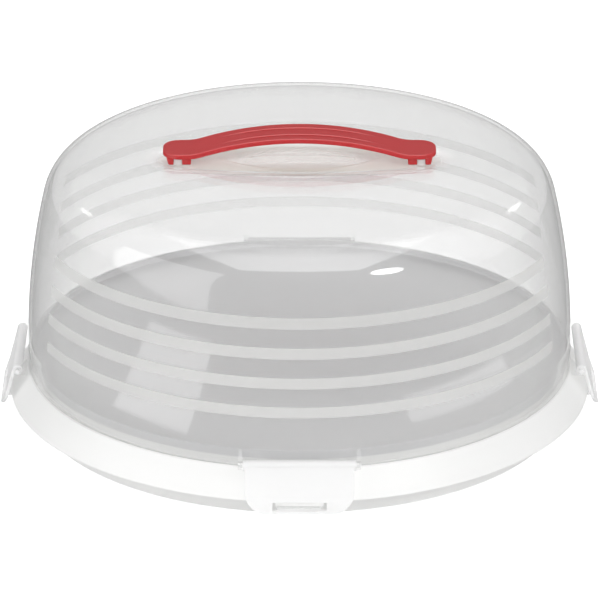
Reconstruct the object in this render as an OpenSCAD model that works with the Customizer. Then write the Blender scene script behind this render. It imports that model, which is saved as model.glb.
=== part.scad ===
// Round cake carrier: a white tray, a clear domed lid with satin stripes,
// a red arched handle clipped to the lid, and four flap latches hinged on the lid.
// Millimetres, +Z up. The origin is on the table, under the middle of the tray.
// The handle runs along X, and the front is towards -Y.

/* [Lid] */
// Outer radius of the lid at its lower edge
lid_r = 157; // [150:0.5:165]
// Height of the lid from its lower edge to the middle of its crown
lid_h = 124; // [116:0.2:136]
// Thickness of the lid's wall
lid_wall = 2; // [1.6:0.1:2.6]
// Straight height at the foot of the lid's wall
straight_h = 13; // [8:0.5:20]
// Radius of the wall's upright curve
wall_arc_r = 390; // [360:5:500]
// Radius of the rounded shoulder between wall and crown
shoulder_r = 25.2; // [16:0.2:26.4]
// Drop from the middle of the crown to the centre of the shoulder's curve
shoulder_drop = 27.6; // [26.4:0.1:36]

/* [Stripes] */
// Stripes one above the other, each on the front and on the back
stripe_count = 4; // [1:1:4]
// Height of the lowest stripe's middle above the lid's lower edge
stripe_first = 33.3; // [28:0.1:40]
// Distance from one stripe to the next
stripe_pitch = 16.9; // [12:0.1:18]
// Height of a stripe
stripe_h = 6.3; // [4:0.1:9]
// How far a stripe stands proud of the wall
stripe_t = 0.3; // [0.2:0.05:0.6]
// Angle that a stripe covers round the lid
stripe_angle = 132; // [100:1:140]

/* [Finger well] */
// Width of the lens-shaped recess in the crown
recess_w = 47.8; // [44:0.2:56]
// Length of the recess, between its round ends
recess_len = 165; // [160:1:180]
// Radius of the recess's long sides
recess_arc_r = 311; // [280:1:400]
// Depth of the recess
recess_depth = 1.4; // [0.8:0.1:1.8]
// Width of the finger scoop in the middle of the recess
scoop_w = 34; // [28:0.5:40]
// Length of the scoop, tip to tip
scoop_len = 104; // [96:1:112]
// Depth of the scoop below the recess
scoop_depth = 6; // [4:0.5:9]

/* [Handle] */
// Length of the handle
handle_len = 155.7; // [150:0.5:164]
// Width of the handle
handle_w = 24.8; // [20:0.2:28]
// Thickness of the handle
handle_t = 2.9; // [2.2:0.1:3.6]
// Rise of the arch from the pads to the middle
arch_rise = 9.8; // [6:0.1:14]
// Radius of the arch's top
arch_r = 190; // [170:1:230]
// Radius of the hollow blend between arch and pad
blend_r = 30; // [20:1:36]
// Radius of the pads' corners
pad_corner_r = 9.5; // [5:0.1:9.9]
// Spacing of the two raised ridges along the arch
ridge_gap = 10.4; // [6:0.1:12]
// Radius of a ridge
ridge_r = 0.8; // [0.5:0.05:1]
// Distance from the handle's tip to the middle of its foot
foot_inset = 8.55; // [7.6:0.05:10]
// Thickness of a lug
lug_t = 4.6; // [3.6:0.1:5.2]
// Width of a lug
lug_w = 18; // [12:0.5:19]
// Thickness of a foot's inner leg
inner_leg_t = 5.1; // [4:0.1:5.4]
// Thickness of a foot's outer leg at its lower end
outer_leg_t = 3; // [2.4:0.1:3.6]
// Space under the pads, from the recess to their underside
pad_lift = 4.5; // [3.5:0.1:5.5]
// How far a foot is wider than its lug on each side
foot_margin = 1; // [0.5:0.1:2]

/* [Tray] */
// Height of the tray's floor above the table
floor_z = 35; // [32:0.5:40]
// Thickness of the tray's walls and floor
tray_wall = 2.5; // [1.8:0.1:3]
// Height of the ring that the lid fits round, above the floor
upstand_h = 3.5; // [2:0.1:6]
// Height of the seat that the lid rests on
seat_z = 29; // [26:0.5:29]
// Reach of the sloping shoulder beyond the lid
skirt_w = 10.4; // [9.5:0.1:10.8]
// Height of the shoulder's lower edge above the table
skirt_z = 12.8; // [12:0.1:14]
// How much narrower the foot is than the ring above it
foot_draft = 1.6; // [0.5:0.1:3]

/* [Latches] */
// Distance from the lid's wall to a latch's hinge line
hinge_reach = 5; // [4.6:0.1:5.6]
// Height of the hinge line above the lid's lower edge
hinge_lift = 4.2; // [4:0.1:5]
// Radius of a latch's barrel
barrel_r = 3; // [2.5:0.05:3.2]
// Radius of a latch's hinge pins
pin_r = 1.2; // [1:0.05:1.4]
// Length of a latch's barrel
barrel_len = 62.7; // [56:0.1:68]
// Width of a latch's flap
flap_w = 60.5; // [54:0.1:62]
// Thickness of a latch's flap
flap_t = 1.8; // [1.4:0.1:2.2]
// Drop from the hinge line to the flap's bend
flap_drop = 18.2; // [17:0.1:19]
// How far the flap leans out at its bend
flap_lean = 4.8; // [4.4:0.1:5.4]
// Drop from the bend to the lower edge of the finger lip
lip_drop = 6.4; // [6:0.1:7.5]
// How far the finger lip leans out
lip_lean = 2.8; // [2:0.1:4]
// Radius of the flap's lower corners
flap_corner_r = 11; // [6:0.5:12]
// Width of the window over the catch
window_w = 30; // [26:0.2:34]
// Height of the window over the catch
window_h = 4.3; // [3.4:0.1:4.6]
// Thickness of the lid's hinge ears
ear_t = 2.2; // [1.8:0.1:3]
// Wall of an ear round its pin
ear_wall = 1.1; // [0.9:0.1:1.6]

/* [Fits] */
// Gap between the lid's wall and the tray's ring
lid_gap = 0.4; // [0.3:0.05:0.8]
// Radial clearance of a hinge pin in its ear
pin_gap = 0.05; // [0.02:0.01:0.1]
// Gap beside a latch's barrel
side_gap = 0.3; // [0.2:0.05:0.6]
// Gap between a closed latch's hook and the tray's catch
hook_gap = 0.3; // [0.2:0.05:0.5]
// Gap between a handle's leg and its lug
leg_gap = 0.1; // [0.05:0.01:0.2]
// Gap between a handle's foot and the recess under it
foot_gap = 0.3; // [0.2:0.05:0.5]
// How far the tray's seat reaches past the lid's edge
seat_gap = 0.4; // [0.2:0.05:0.8]

/* [Hidden] */
$fn = 96;

clear = [0.9, 0.92, 0.93, 0.35];
frost = [0.96, 0.97, 0.97, 0.8];

// The lid's outline is three tangent arcs over a straight foot: wall, shoulder and crown.
straight_draft = 0.3;
wall_top_r = lid_r - straight_draft;
wall_c = [wall_top_r - wall_arc_r, seat_z + straight_h];
crown_z = seat_z + lid_h;
shoulder_c_z = crown_z - shoulder_drop;
shoulder_a = asin((shoulder_c_z - wall_c[1]) / (wall_arc_r - shoulder_r));
shoulder_c = [wall_c[0] + (wall_arc_r - shoulder_r) * cos(shoulder_a), shoulder_c_z];
// The crown's radius makes it tangent to the shoulder with its centre on the axis.
crown_r = (pow(shoulder_c[0], 2) + pow(shoulder_drop, 2) - pow(shoulder_r, 2))
    / (2 * (shoulder_drop - shoulder_r));
crown_c = [0, crown_z - crown_r];
crown_a = atan2(shoulder_c[1] - crown_c[1], shoulder_c[0]);

wall_steps = 10;
shoulder_steps = 8;
crown_steps = 12;

function arc(c, r, a0, a1, n) = [for (i = [0:n]) let (a = a0 + (a1 - a0) * i / n) c + r * [cos(a), sin(a)]];
// Height of the crown at distance d from the axis, k below its outer face
function crown_at(d, k = 0) = crown_c[1] + sqrt(pow(crown_r - k, 2) - d * d);
// Radius of the wall at height z, k outside its outer face
function wall_at(z, k = 0) = wall_c[0] + sqrt(pow(wall_arc_r + k, 2) - pow(z - wall_c[1], 2));

// The lid's solid outline, inset by k, from its axis to its lower edge
function dome_outline(k) = concat(
    [[0, seat_z - k], [lid_r - k, seat_z - k]],
    arc(wall_c, wall_arc_r - k, 0, shoulder_a, wall_steps),
    arc(shoulder_c, shoulder_r - k, shoulder_a, crown_a, shoulder_steps),
    arc(crown_c, crown_r - k, crown_a, 90, crown_steps));

module dome(k) { rotate_extrude($fn = 180) polygon(dome_outline(k)); }

// A lens on the XY plane, w wide, between two arcs of radius r, grown by k
module lens(w, r, k) {
    intersection_for (s = [-1, 1])
        translate([0, s * (r - w / 2)])
            circle(r + k, $fn = 180);
}

// Height of the block that a well is cut with, half of it above the crown
well_top = 40;

// A bar with round ends, as long and as wide as the recess, grown by k
module recess_ends(k) {
    square([recess_len - recess_w, recess_w + 2 * k], center = true);
    for (s = [-1, 1])
        translate([s * (recess_len - recess_w) / 2, 0])
            circle(recess_w / 2 + k);
}

// The shallow recess in the crown, for a lid surface that is inset by k
module recess(k) {
    difference() {
        translate([0, 0, crown_z - well_top / 2])
            linear_extrude(well_top)
                intersection() {
                    lens(recess_w, recess_arc_r, k);
                    recess_ends(k);
                }
        dome(k + recess_depth);
    }
}

scoop_arc_r = (pow(scoop_len, 2) + pow(scoop_w, 2)) / (4 * scoop_w);
scoop_z = crown_z - recess_depth - scoop_depth;
scoop_rise = crown_at(scoop_len / 2, recess_depth) - scoop_z;
scoop_floor_r = (pow(scoop_len / 2, 2) + pow(scoop_rise, 2)) / (2 * scoop_rise);

// The finger scoop, with a floor that is an arc along X
module scoop(k) {
    intersection() {
        translate([0, 0, crown_z - well_top / 2])
            linear_extrude(well_top)
                lens(scoop_w, scoop_arc_r, k);
        translate([0, 0, scoop_z + scoop_floor_r])
            rotate([90, 0, 0])
                cylinder(r = scoop_floor_r + k, h = 2 * scoop_w, center = true, $fn = 180);
    }
}

module lid_solid(k) {
    difference() {
        dome(k);
        recess(k);
        scoop(k);
    }
}

// One stripe on the front, its middle at height z
stripe_steps = 4;
stripe_root = 0.8;
module stripe(z) {
    z0 = z - stripe_h / 2;
    rise = [for (i = [0:stripe_steps]) z0 + stripe_h * i / stripe_steps];
    fall = [for (i = [stripe_steps:-1:0]) rise[i]];
    rotate([0, 0, -90 - stripe_angle / 2])
        rotate_extrude(angle = stripe_angle, $fn = 180)
            polygon(concat(
                [for (h = rise) [wall_at(h, stripe_t), h]],
                [for (h = fall) [wall_at(h, -stripe_root), h]]));
}

module stripes() {
    for (side = [0, 180], i = [0:stripe_count - 1])
        rotate([0, 0, side])
            stripe(seat_z + stripe_first + i * stripe_pitch);
}

// Handle: its profile lies in the XZ plane
lug_x = handle_len / 2 - foot_inset;
pad_under = crown_at(lug_x, recess_depth) + pad_lift;
pad_top = pad_under + handle_t;
arch_top = pad_top + arch_rise;
arch_c = [0, arch_top - arch_r];
blend_c_z = pad_top + blend_r;
blend_x = sqrt(pow(arch_r + blend_r, 2) - pow(blend_c_z - arch_c[1], 2));
blend_a = atan2(blend_c_z - arch_c[1], blend_x);
leg_z = crown_at(lug_x - lug_t / 2 - inner_leg_t, recess_depth) + foot_gap;
// The outer leg grows thicker upwards, by this share of its height
leg_slope = 1 / 3;
bead_r = 0.5;
bead_z = (leg_z + pad_under) / 2;
// How much shorter a bead is than its lug, at each end
bead_inset = 2;

// Height of the handle at distance x from the middle, t below its top face
function handle_at(x, t) =
    x >= blend_x ? pad_top - t
    : x >= blend_x * (arch_r - t) / (arch_r + blend_r)
        ? blend_c_z - sqrt(pow(blend_r + t, 2) - pow(blend_x - x, 2))
        : arch_c[1] + sqrt(pow(arch_r - t, 2) - x * x);

// Half of the handle's line, from the middle to the tip, t below its top face
function handle_line(t) = concat(
    arc(arch_c, arch_r - t, 90, blend_a, 12),
    arc([blend_x, blend_c_z], blend_r + t, 180 + blend_a, 270, 5),
    [[handle_len / 2, pad_top - t]]);

module handle_profile() {
    top = handle_line(0);
    under = handle_line(handle_t);
    last = len(under) - 1;
    for (s = [0, 1])
        mirror([s, 0])
            polygon(concat(top, [for (i = [last:-1:0]) under[i]]));
}

// The handle's outline seen from above, a rectangle with round corners
module handle_plan() {
    square([handle_len - 2 * pad_corner_r, handle_w], center = true);
    square([handle_len, handle_w - 2 * pad_corner_r], center = true);
    for (x = [-1, 1], y = [-1, 1])
        translate([x * (handle_len / 2 - pad_corner_r), y * (handle_w / 2 - pad_corner_r)])
            circle(pad_corner_r);
}

// The two ridges are arcs about the arch's own centre, sunk by a third of their radius
ridge_span = 2 * (90 - blend_a);
ridge_sink = ridge_r / 3;
module ridges() {
    translate([0, 0, arch_c[1]])
        rotate([90, 0, 0])
            rotate([0, 0, 90 - ridge_span / 2])
                for (y = [-1, 1])
                    translate([0, 0, y * ridge_gap / 2])
                        rotate_extrude(angle = ridge_span, $fn = 180)
                            translate([arch_r - ridge_sink, 0])
                                circle(ridge_r, $fn = 24);
}

// A leg in the XZ plane, from x0 to x1 at its foot and x2 at its top, rooted in the handle
module leg_profile(x0, x1, x2) {
    polygon([
        [x0, leg_z], [x1, leg_z],
        [x2, handle_at(x2, handle_t / 2)], [x0, handle_at(x0, handle_t / 2)]]);
}

// The forked foot on the +X side, in the XZ plane
module foot_profile() {
    in_x = lug_x - lug_t / 2 - leg_gap;
    out_x = lug_x + lug_t / 2 + leg_gap;
    leg_profile(in_x - inner_leg_t, in_x, in_x);
    leg_profile(out_x, out_x + outer_leg_t, out_x + outer_leg_t + (pad_under - leg_z) * leg_slope);
}

// The snap beads on a lug's two faces, grown by k
module lug_beads(k) {
    for (s = [-1, 1])
        translate([lug_x + s * lug_t / 2, 0, bead_z])
            rotate([90, 0, 0])
                cylinder(r = bead_r + k, h = lug_w - 2 * bead_inset + 2 * k, center = true, $fn = 24);
}

module handle() {
    color([0.72, 0.28, 0.28]) {
        intersection() {
            rotate([90, 0, 0])
                linear_extrude(2 * handle_w, center = true)
                    handle_profile();
            linear_extrude(arch_top + handle_t)
                handle_plan();
        }
        ridges();
        for (s = [0, 1])
            mirror([s, 0, 0])
                difference() {
                    rotate([90, 0, 0])
                        linear_extrude(lug_w + 2 * foot_margin, center = true)
                            foot_profile();
                    lug_beads(leg_gap);
                }
    }
}

// A prism of the XZ profile that follows, w long in Y
module along_hinge(w) {
    rotate([90, 0, 0])
        linear_extrude(w, center = true)
            children();
}

// Hinges: a latch is drawn facing +X, its hinge line along Y
hinge_x = lid_r + hinge_reach;
hinge_z = seat_z + hinge_lift;
ear_y = barrel_len / 2 + side_gap;
ear_r = pin_r + ear_wall;
ear_root = 12;

// The pair of ears that carry a latch, before the lid's hollow is taken out
module ears() {
    for (s = [-1, 1])
        translate([hinge_x, s * (ear_y + ear_t / 2), hinge_z])
            rotate([90, 0, 0])
                linear_extrude(ear_t, center = true)
                    difference() {
                        union() {
                            circle(ear_r);
                            polygon([
                                ear_r * [cos(45), sin(45)],
                                [-ear_root, ear_root + ear_r * sqrt(2)],
                                [-ear_root, -ear_r],
                                [0, -ear_r]]);
                        }
                        circle(pin_r + pin_gap);
                    }
}

// Lugs that the handle's feet clip over, rooted in the recess's floor
module lugs() {
    for (s = [0, 1])
        mirror([s, 0, 0]) {
            translate([lug_x - lug_t / 2, -lug_w / 2, crown_at(lug_x + lug_t, recess_depth) - lid_wall / 2])
                cube([lug_t, lug_w, pad_under - crown_at(lug_x + lug_t, recess_depth) + lid_wall / 2]);
            lug_beads(0);
        }
}

module dome_lid() {
    color(clear) {
        difference() {
            union() {
                lid_solid(0);
                for (a = [0:90:270])
                    rotate([0, 0, a])
                        ears();
            }
            lid_solid(lid_wall);
        }
        stripes();
        lugs();
    }
}

// Tray
ring_r = lid_r - lid_wall - lid_gap;
foot_r = ring_r - foot_draft;
seat_r = lid_r + seat_gap;
skirt_r = lid_r + skirt_w;
skirt_edge = 0.8;
// The catch under the skirt's edge is straight, with a bead that the latch's hook snaps over
catch_h = 2;
catch_t = 2.3;
catch_root = 0.5;
catch_setback = 0.7;
catch_margin = 1.5;
catch_w = window_w - 2 * catch_margin;
catch_z = skirt_z - catch_h;
catch_out = skirt_r - catch_setback;
catch_in = catch_out - catch_t;
catch_bead = 0.5;
catch_bead_w = 0.8;
catch_bead_slope = 0.2;

module tray_profile() {
    polygon([
        [0, floor_z], [ring_r - tray_wall, floor_z],
        [ring_r - tray_wall, floor_z + upstand_h], [ring_r, floor_z + upstand_h],
        [ring_r, seat_z], [seat_r, seat_z],
        [skirt_r, skirt_z + skirt_edge], [skirt_r, skirt_z],
        [skirt_r - tray_wall, skirt_z], [seat_r - tray_wall / 2, seat_z - tray_wall],
        [ring_r, seat_z - tray_wall],
        [foot_r, 0], [foot_r - tray_wall, 0],
        [ring_r - tray_wall, floor_z - tray_wall], [0, floor_z - tray_wall]]);
}

module tray_catch() {
    along_hinge(catch_w)
        polygon([
            [catch_in, skirt_z + catch_root], [catch_out, skirt_z + catch_root],
            [catch_out, catch_z - catch_bead], [catch_out - catch_bead_w, catch_z - catch_bead],
            [catch_out - catch_bead_w - catch_bead_slope, catch_z], [catch_in, catch_z]]);
}

module base_tray() {
    color("white") {
        rotate_extrude($fn = 180)
            tray_profile();
        for (a = [0:90:270])
            rotate([0, 0, a])
                tray_catch();
    }
}

// Latch: places are measured from the hinge line, x outwards and z up
bend = [barrel_r + flap_lean, -flap_drop];
lip = bend + [lip_lean, -lip_drop];
bend_rise = 0.3;
hook_z = catch_z - catch_bead - hook_gap - hinge_z;
hook_t = 0.8;
hook_margin = 1;
nib_h = 0.5;
nib_w = 0.8;
hook_x = catch_out - catch_bead_w - hook_gap - nib_w - hinge_x;
window_drop = 0.1;
window_z = hook_z - window_drop;

module flap_profile() {
    polygon([
        [barrel_r, 0], bend, lip,
        lip - [flap_t, 0], bend - [flap_t, bend_rise], [barrel_r - flap_t, 0]]);
    circle(barrel_r, $fn = 48);
}

// The hook below the window, with a nib that stands up behind the catch's bead
module hook_profile() {
    polygon([
        [hook_x, hook_z + nib_h], [hook_x + nib_w / 2, hook_z + nib_h], [hook_x + nib_w, hook_z],
        [bend[0], hook_z], [lip[0] - flap_t / 2, lip[1]],
        [lip[0] - flap_t, lip[1]], [hook_x, hook_z - hook_t]]);
}

// The flap seen from outside: square at the top, with round lower corners
module flap_face() {
    translate([-flap_w / 2 + flap_corner_r, 0])
        square([flap_w - 2 * flap_corner_r, flap_corner_r]);
    translate([-flap_w / 2, flap_corner_r])
        square([flap_w, 2 * flap_drop]);
    for (s = [-1, 1])
        translate([s * (flap_w / 2 - flap_corner_r), flap_corner_r])
            circle(flap_corner_r);
}

module latch() {
    translate([hinge_x, 0, hinge_z]) {
        difference() {
            union() {
                intersection() {
                    along_hinge(flap_w)
                        flap_profile();
                    translate([-2 * barrel_r, 0, lip[1]])
                        rotate([90, 0, 90])
                            linear_extrude(2 * lip[0])
                                flap_face();
                }
                along_hinge(barrel_len)
                    circle(barrel_r, $fn = 48);
                along_hinge(barrel_len + 2 * (side_gap + ear_t))
                    circle(pin_r, $fn = 48);
            }
            translate([hook_x, -window_w / 2, window_z])
                cube([2 * lip[0], window_w, window_h]);
        }
        along_hinge(catch_w - 2 * hook_margin)
            hook_profile();
    }
}

module latch_at(a) { color(frost) rotate([0, 0, a]) latch(); }

module latch_front() { latch_at(-90); }
module latch_right() { latch_at(0); }
module latch_back() { latch_at(90); }
module latch_left() { latch_at(180); }

base_tray();
dome_lid();
handle();
latch_front();
latch_right();
latch_back();
latch_left();
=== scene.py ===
"""Looks of the round cake carrier: a clear dome with satin stripes, its red handle, the white tray
and four latches.

Every size is in millimetres, in the frame's axes, and each finished mesh is scaled to metres.
"""

import math

import bmesh
import bpy
from mathutils import Matrix, Vector


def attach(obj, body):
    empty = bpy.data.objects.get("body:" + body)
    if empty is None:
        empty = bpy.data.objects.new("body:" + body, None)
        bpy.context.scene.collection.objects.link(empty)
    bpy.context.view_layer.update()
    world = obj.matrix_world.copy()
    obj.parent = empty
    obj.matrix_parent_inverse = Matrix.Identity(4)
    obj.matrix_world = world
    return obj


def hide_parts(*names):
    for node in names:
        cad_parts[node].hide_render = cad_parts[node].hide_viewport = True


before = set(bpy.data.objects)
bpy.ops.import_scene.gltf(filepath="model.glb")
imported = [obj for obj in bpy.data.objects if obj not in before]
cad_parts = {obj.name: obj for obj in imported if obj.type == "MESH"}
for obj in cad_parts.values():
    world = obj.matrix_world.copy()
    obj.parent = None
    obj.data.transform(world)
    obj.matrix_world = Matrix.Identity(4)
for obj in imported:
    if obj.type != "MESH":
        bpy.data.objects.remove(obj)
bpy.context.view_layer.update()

MM = 0.001
MERGE = 0.0005

# Lid: its outline is three tangent arcs over a short straight foot
LID_R = 157.0
LID_WALL = 2.0
SEAT_Z = 29.0
STRAIGHT_TOP_Z = 42.0
STRAIGHT_DRAFT = 0.3
WALL_ARC_R = 390.0
SHOULDER_R = 25.2
SHOULDER_Z = 125.4
CROWN_Z = 153.0
LID_EDGE_R = 0.6
DOME_STEPS = 320
RING_SLACK = 0.01
SHOULDER_STEPS = 12
WALL_STEPS = 18

# Finger well: a shallow lens-shaped recess with a deeper scoop in it. The slope of the recess's
# edge reaches RECESS_EDGE inside and outside its outline, and RECESS_SOFT further at its two ends.
RECESS_W = 47.8
RECESS_LEN = 165.0
RECESS_ARC_R = 311.0
RECESS_DEPTH = 1.4
RECESS_EDGE = (0.9, 0.5)
RECESS_SOFT = 7.0
RECESS_SOFT_SPAN = 1.6
SCOOP_W = 34.0
SCOOP_LEN = 104.0
SCOOP_DEPTH = 6.0
SCOOP_WALL = 11.0
SCOOP_LIP = 0.6

# Satin stripes, front and back
STRIPE_Z = (62.3, 79.2, 96.1, 113.0)
STRIPE_H = 6.3
STRIPE_T = 0.3
STRIPE_LIFT = 0.02
STRIPE_ANGLE = 132.0
STRIPE_STEPS = 96

# Handle
HANDLE_LEN = 155.7
HANDLE_W = 24.8
HANDLE_T = 2.9
ARCH_R = 190.0
ARCH_RISE = 9.8
BLEND_R = 30.0
PAD_CORNER_R = 9.5
PAD_TOP_Z = 158.22
HANDLE_EDGE_R = 0.85
HANDLE_UNDER_R = 0.5
RIDGE_Y = 5.2
RIDGE_R = 0.8
RIDGE_SINK = RIDGE_R / 3
RIDGE_FADE = (26.0, 54.0)
FOOT_Z = 151.29
FOOT_W = 20.0
FOOT_EDGE_R = 0.6
INNER_LEG_X = (61.8, 66.9)
OUTER_LEG_X = (71.7, 74.7)
OUTER_LEG_FLARE = 1.3
LUG_X = 69.3
LUG_T = 4.6
LUG_W = 18.0
LUG_TOP_Z = 155.33
LUG_ROOT_Z = 149.9
LUG_EDGE_R = 0.4
# The grip's mesh: steps along it, steps round a corner, and lines along its top beside the ridges'
HANDLE_STEPS = 44
CORNER_STEPS = 12
TOP_LINES_Y = (0, 1.3, 2.6, 3.6, 7.0, 8.2, 9.4, 10.5)
RIDGE_LINES = [i * 0.15 for i in range(-7, 8)]
# Lines near the middle are a little shorter, so that they end one inside another on the pads
LINE_TAPER = 0.05

# Tray
RING_R = 154.6
FLOOR_Z = 35.0
RING_TOP_Z = 38.5
SEAT_R = 157.4
SKIRT_R = 167.4
SKIRT_Z = 12.8
SKIRT_EDGE = 0.8
FOOT_R = 153.0
TRAY_WALL = 2.5
TRAY_STEPS = 256
CATCH_W = 27.0
CATCH_OUT = 166.7
CATCH_T = 2.3
CATCH_Z = (10.3, 13.3)
CATCH_EDGE_R = 0.3

# Latches
HINGE_R = 162.0
HINGE_Z = 33.2
BARREL_R = 3.0
BARREL_LEN = 62.7
BARREL_EDGE_R = 0.5
PIN_R = 1.2
PIN_LEN = 67.7
PIN_EDGE_R = 0.2
FLAP_W = 60.5
FLAP_T = 1.8
BEND = (169.8, 15.0)
LIP = (172.6, 8.6)
FLAP_CORNER_R = 11.0
FLAP_EDGE_R = 0.3
WINDOW_W = 30.0
WINDOW_Z = (9.9, 14.2)
HOOK_W = 25.0
HOOK_IN = 164.8
HOOK_Z = (9.2, 10.0)
HOOK_EDGE_R = 0.25
# The flap's mesh: heights of its plain rows, and the least space between two rows
FLAP_ROWS_Z = (22.5, 26.0, 29.6)
FLAP_ROW_GAP = 0.45

# Hinge ears on the lid: each arm starts just past the bore and widens towards the wall
EAR_Y = 32.75
EAR_T = 2.2
EAR_R = 2.3
EAR_BORE_R = 1.28
EAR_STEPS = 28
EAR_ARM_GAP = 0.1
EAR_ARM_INSET = 0.05
EAR_ARM_TOP = 0.9 * EAR_R
EAR_ARM_LIFT = 7.5


# Small helpers


def spread(start, end, steps):
    """Evenly spaced values from start to end."""
    return [start + (end - start) * i / steps for i in range(steps + 1)]


def smooth(t):
    """0 below 0, 1 above 1, and an even ease between them."""
    t = min(max(t, 0.0), 1.0)
    return t * t * (3 - 2 * t)


def arc(centre, radius, start, end, steps):
    """Points of an arc, between two angles in degrees."""
    turns = [math.radians(a) for a in spread(start, end, steps)]
    return [(centre[0] + radius * math.cos(a), centre[1] + radius * math.sin(a)) for a in turns]


def rounded(corners, steps=5):
    """The corners (x, z, length) of an outline, each cut back by its length and rounded."""
    points = []
    for i, (x, z, cut) in enumerate(corners):
        here = Vector((x, z))
        if cut == 0 or i in (0, len(corners) - 1):
            points.append((x, z))
            continue
        before = here + (Vector(corners[i - 1][:2]) - here).normalized() * cut
        after = here + (Vector(corners[i + 1][:2]) - here).normalized() * cut
        for t in spread(0, 1, steps):
            p = before * (1 - t) ** 2 + here * (2 * t * (1 - t)) + after * t ** 2
            points.append((p.x, p.y))
    return points


# Lid outline


WALL_C = (LID_R - STRAIGHT_DRAFT - WALL_ARC_R, STRAIGHT_TOP_Z)
SHOULDER_C_REACH = WALL_ARC_R - SHOULDER_R
SHOULDER_A = math.degrees(math.asin((SHOULDER_Z - WALL_C[1]) / SHOULDER_C_REACH))
SHOULDER_C = (WALL_C[0] + SHOULDER_C_REACH * math.cos(math.radians(SHOULDER_A)), SHOULDER_Z)
CROWN_K = CROWN_Z - SHOULDER_Z
CROWN_R = (SHOULDER_C[0] ** 2 + CROWN_K ** 2 - SHOULDER_R ** 2) / (2 * (CROWN_K - SHOULDER_R))
CROWN_C_Z = CROWN_Z - CROWN_R
CROWN_A = math.degrees(math.atan2(SHOULDER_Z - CROWN_C_Z, SHOULDER_C[0]))
CROWN_END_R = CROWN_R * math.cos(math.radians(CROWN_A))


def crown_at(distance, inset=0.0):
    """Height of the crown at a distance from the axis."""
    return CROWN_C_Z + math.sqrt((CROWN_R - inset) ** 2 - distance ** 2)


def wall_at(z, out=0.0):
    """Radius of the lid's wall at a height."""
    return WALL_C[0] + math.sqrt((WALL_ARC_R + out) ** 2 - (z - WALL_C[1]) ** 2)


# Making meshes


def spun(profile, steps, start=0.0, angle=360.0):
    """A profile of (radius, z) turned about the Z axis, from an angle in degrees."""
    bm = bmesh.new()
    turn = math.radians(start)
    verts = [bm.verts.new((r * math.cos(turn), r * math.sin(turn), z)) for r, z in profile]
    edges = [bm.edges.new(pair) for pair in zip(verts, verts[1:])]
    bmesh.ops.spin(
        bm, geom=verts + edges, cent=(0, 0, 0), axis=(0, 0, 1), angle=math.radians(angle),
        steps=steps, use_merge=angle == 360.0, use_duplicate=False)
    bmesh.ops.remove_doubles(bm, verts=bm.verts, dist=MERGE)
    bmesh.ops.recalc_face_normals(bm, faces=bm.faces)
    return bm


def wrapped(around, along, place):
    """A closed skin: a flat grid whose corner (i, j) goes to place(i, j), with its seam and its two
    end rows merged."""
    bm = bmesh.new()
    bmesh.ops.create_grid(bm, x_segments=around, y_segments=along, size=0.5)
    for v in bm.verts:
        i = round((v.co.x + 0.5) * around) % around
        j = round((v.co.y + 0.5) * along)
        v.co = place(i, j)
    bmesh.ops.remove_doubles(bm, verts=bm.verts, dist=MERGE)
    bmesh.ops.recalc_face_normals(bm, faces=bm.faces)
    return bm


def block(bm, low, high, edge_r, shape=None):
    """A block between two corners, with its edges rounded. shape may move its corners first."""
    made = bmesh.ops.create_cube(bm, size=1)["verts"]
    for v in made:
        v.co = [lo + (hi - lo) * (c + 0.5) for lo, hi, c in zip(low, high, v.co)]
        if shape:
            shape(v)
    edges = list({e for v in made for e in v.link_edges})
    bmesh.ops.bevel(
        bm, geom=edges, offset=edge_r, segments=3, profile=0.5, affect="EDGES", material=-1)
    return bm


def rod(bm, radius, length, edge_r, centre, steps=40):
    """A round rod along X with rounded ends."""
    place = Matrix.Translation(centre) @ Matrix.Rotation(math.radians(90), 4, "Y")
    made = bmesh.ops.create_cone(
        bm, cap_ends=True, segments=steps, radius1=radius, radius2=radius, depth=length,
        matrix=place)
    around = {e for v in made["verts"] for e in v.link_edges}
    ends = [e for e in around if abs(e.verts[0].co.x - e.verts[1].co.x) < MERGE]
    bmesh.ops.bevel(
        bm, geom=ends, offset=edge_r, segments=3, profile=0.5, affect="EDGES", material=-1)
    return bm


def turned(bm, degrees):
    """The same bmesh, turned about the Z axis."""
    turn = Matrix.Rotation(math.radians(degrees), 3, "Z")
    bmesh.ops.rotate(bm, cent=(0, 0, 0), matrix=turn, verts=bm.verts)
    return bm


def finished(name, bm, material):
    """The bmesh scaled to metres, as a mesh with its material."""
    bmesh.ops.scale(bm, vec=(MM, MM, MM), verts=bm.verts)
    mesh = bpy.data.meshes.new(name)
    bm.to_mesh(mesh)
    bm.free()
    mesh.materials.append(material)
    return mesh


def in_scene(name, data):
    """A new object of the scene, which holds a mesh, a lamp or a camera."""
    obj = bpy.data.objects.new(name, data)
    bpy.context.scene.collection.objects.link(obj)
    return obj


def piece(name, bm, material, body, turn=0.0, sharp=40.0):
    """The finished mesh as an object that rides a body, turned about the Z axis."""
    mesh = finished(name, turned(bm, turn), material)
    mesh.shade_smooth()
    mesh.set_sharp_from_angle(angle=math.radians(sharp))
    obj = in_scene(name, mesh)
    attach(obj, body)
    return obj


# Materials


# Sockets of a Mix node, for colours and for numbers
COLOUR_A, COLOUR_B, COLOUR_OUT = 6, 7, 2
NUMBER_A, NUMBER_B, NUMBER_OUT = 2, 3, 0


def linear(colour):
    """A hex sRGB colour as the linear colour that a socket takes."""
    parts = [int(colour[i:i + 2], 16) / 255 for i in (1, 3, 5)]
    return [c / 12.92 if c <= 0.04045 else ((c + 0.055) / 1.055) ** 2.4 for c in parts] + [1.0]


def scale_for(size):
    """The Scale of a noise whose features have a real size."""
    return 1 / (size * MM)


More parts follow.
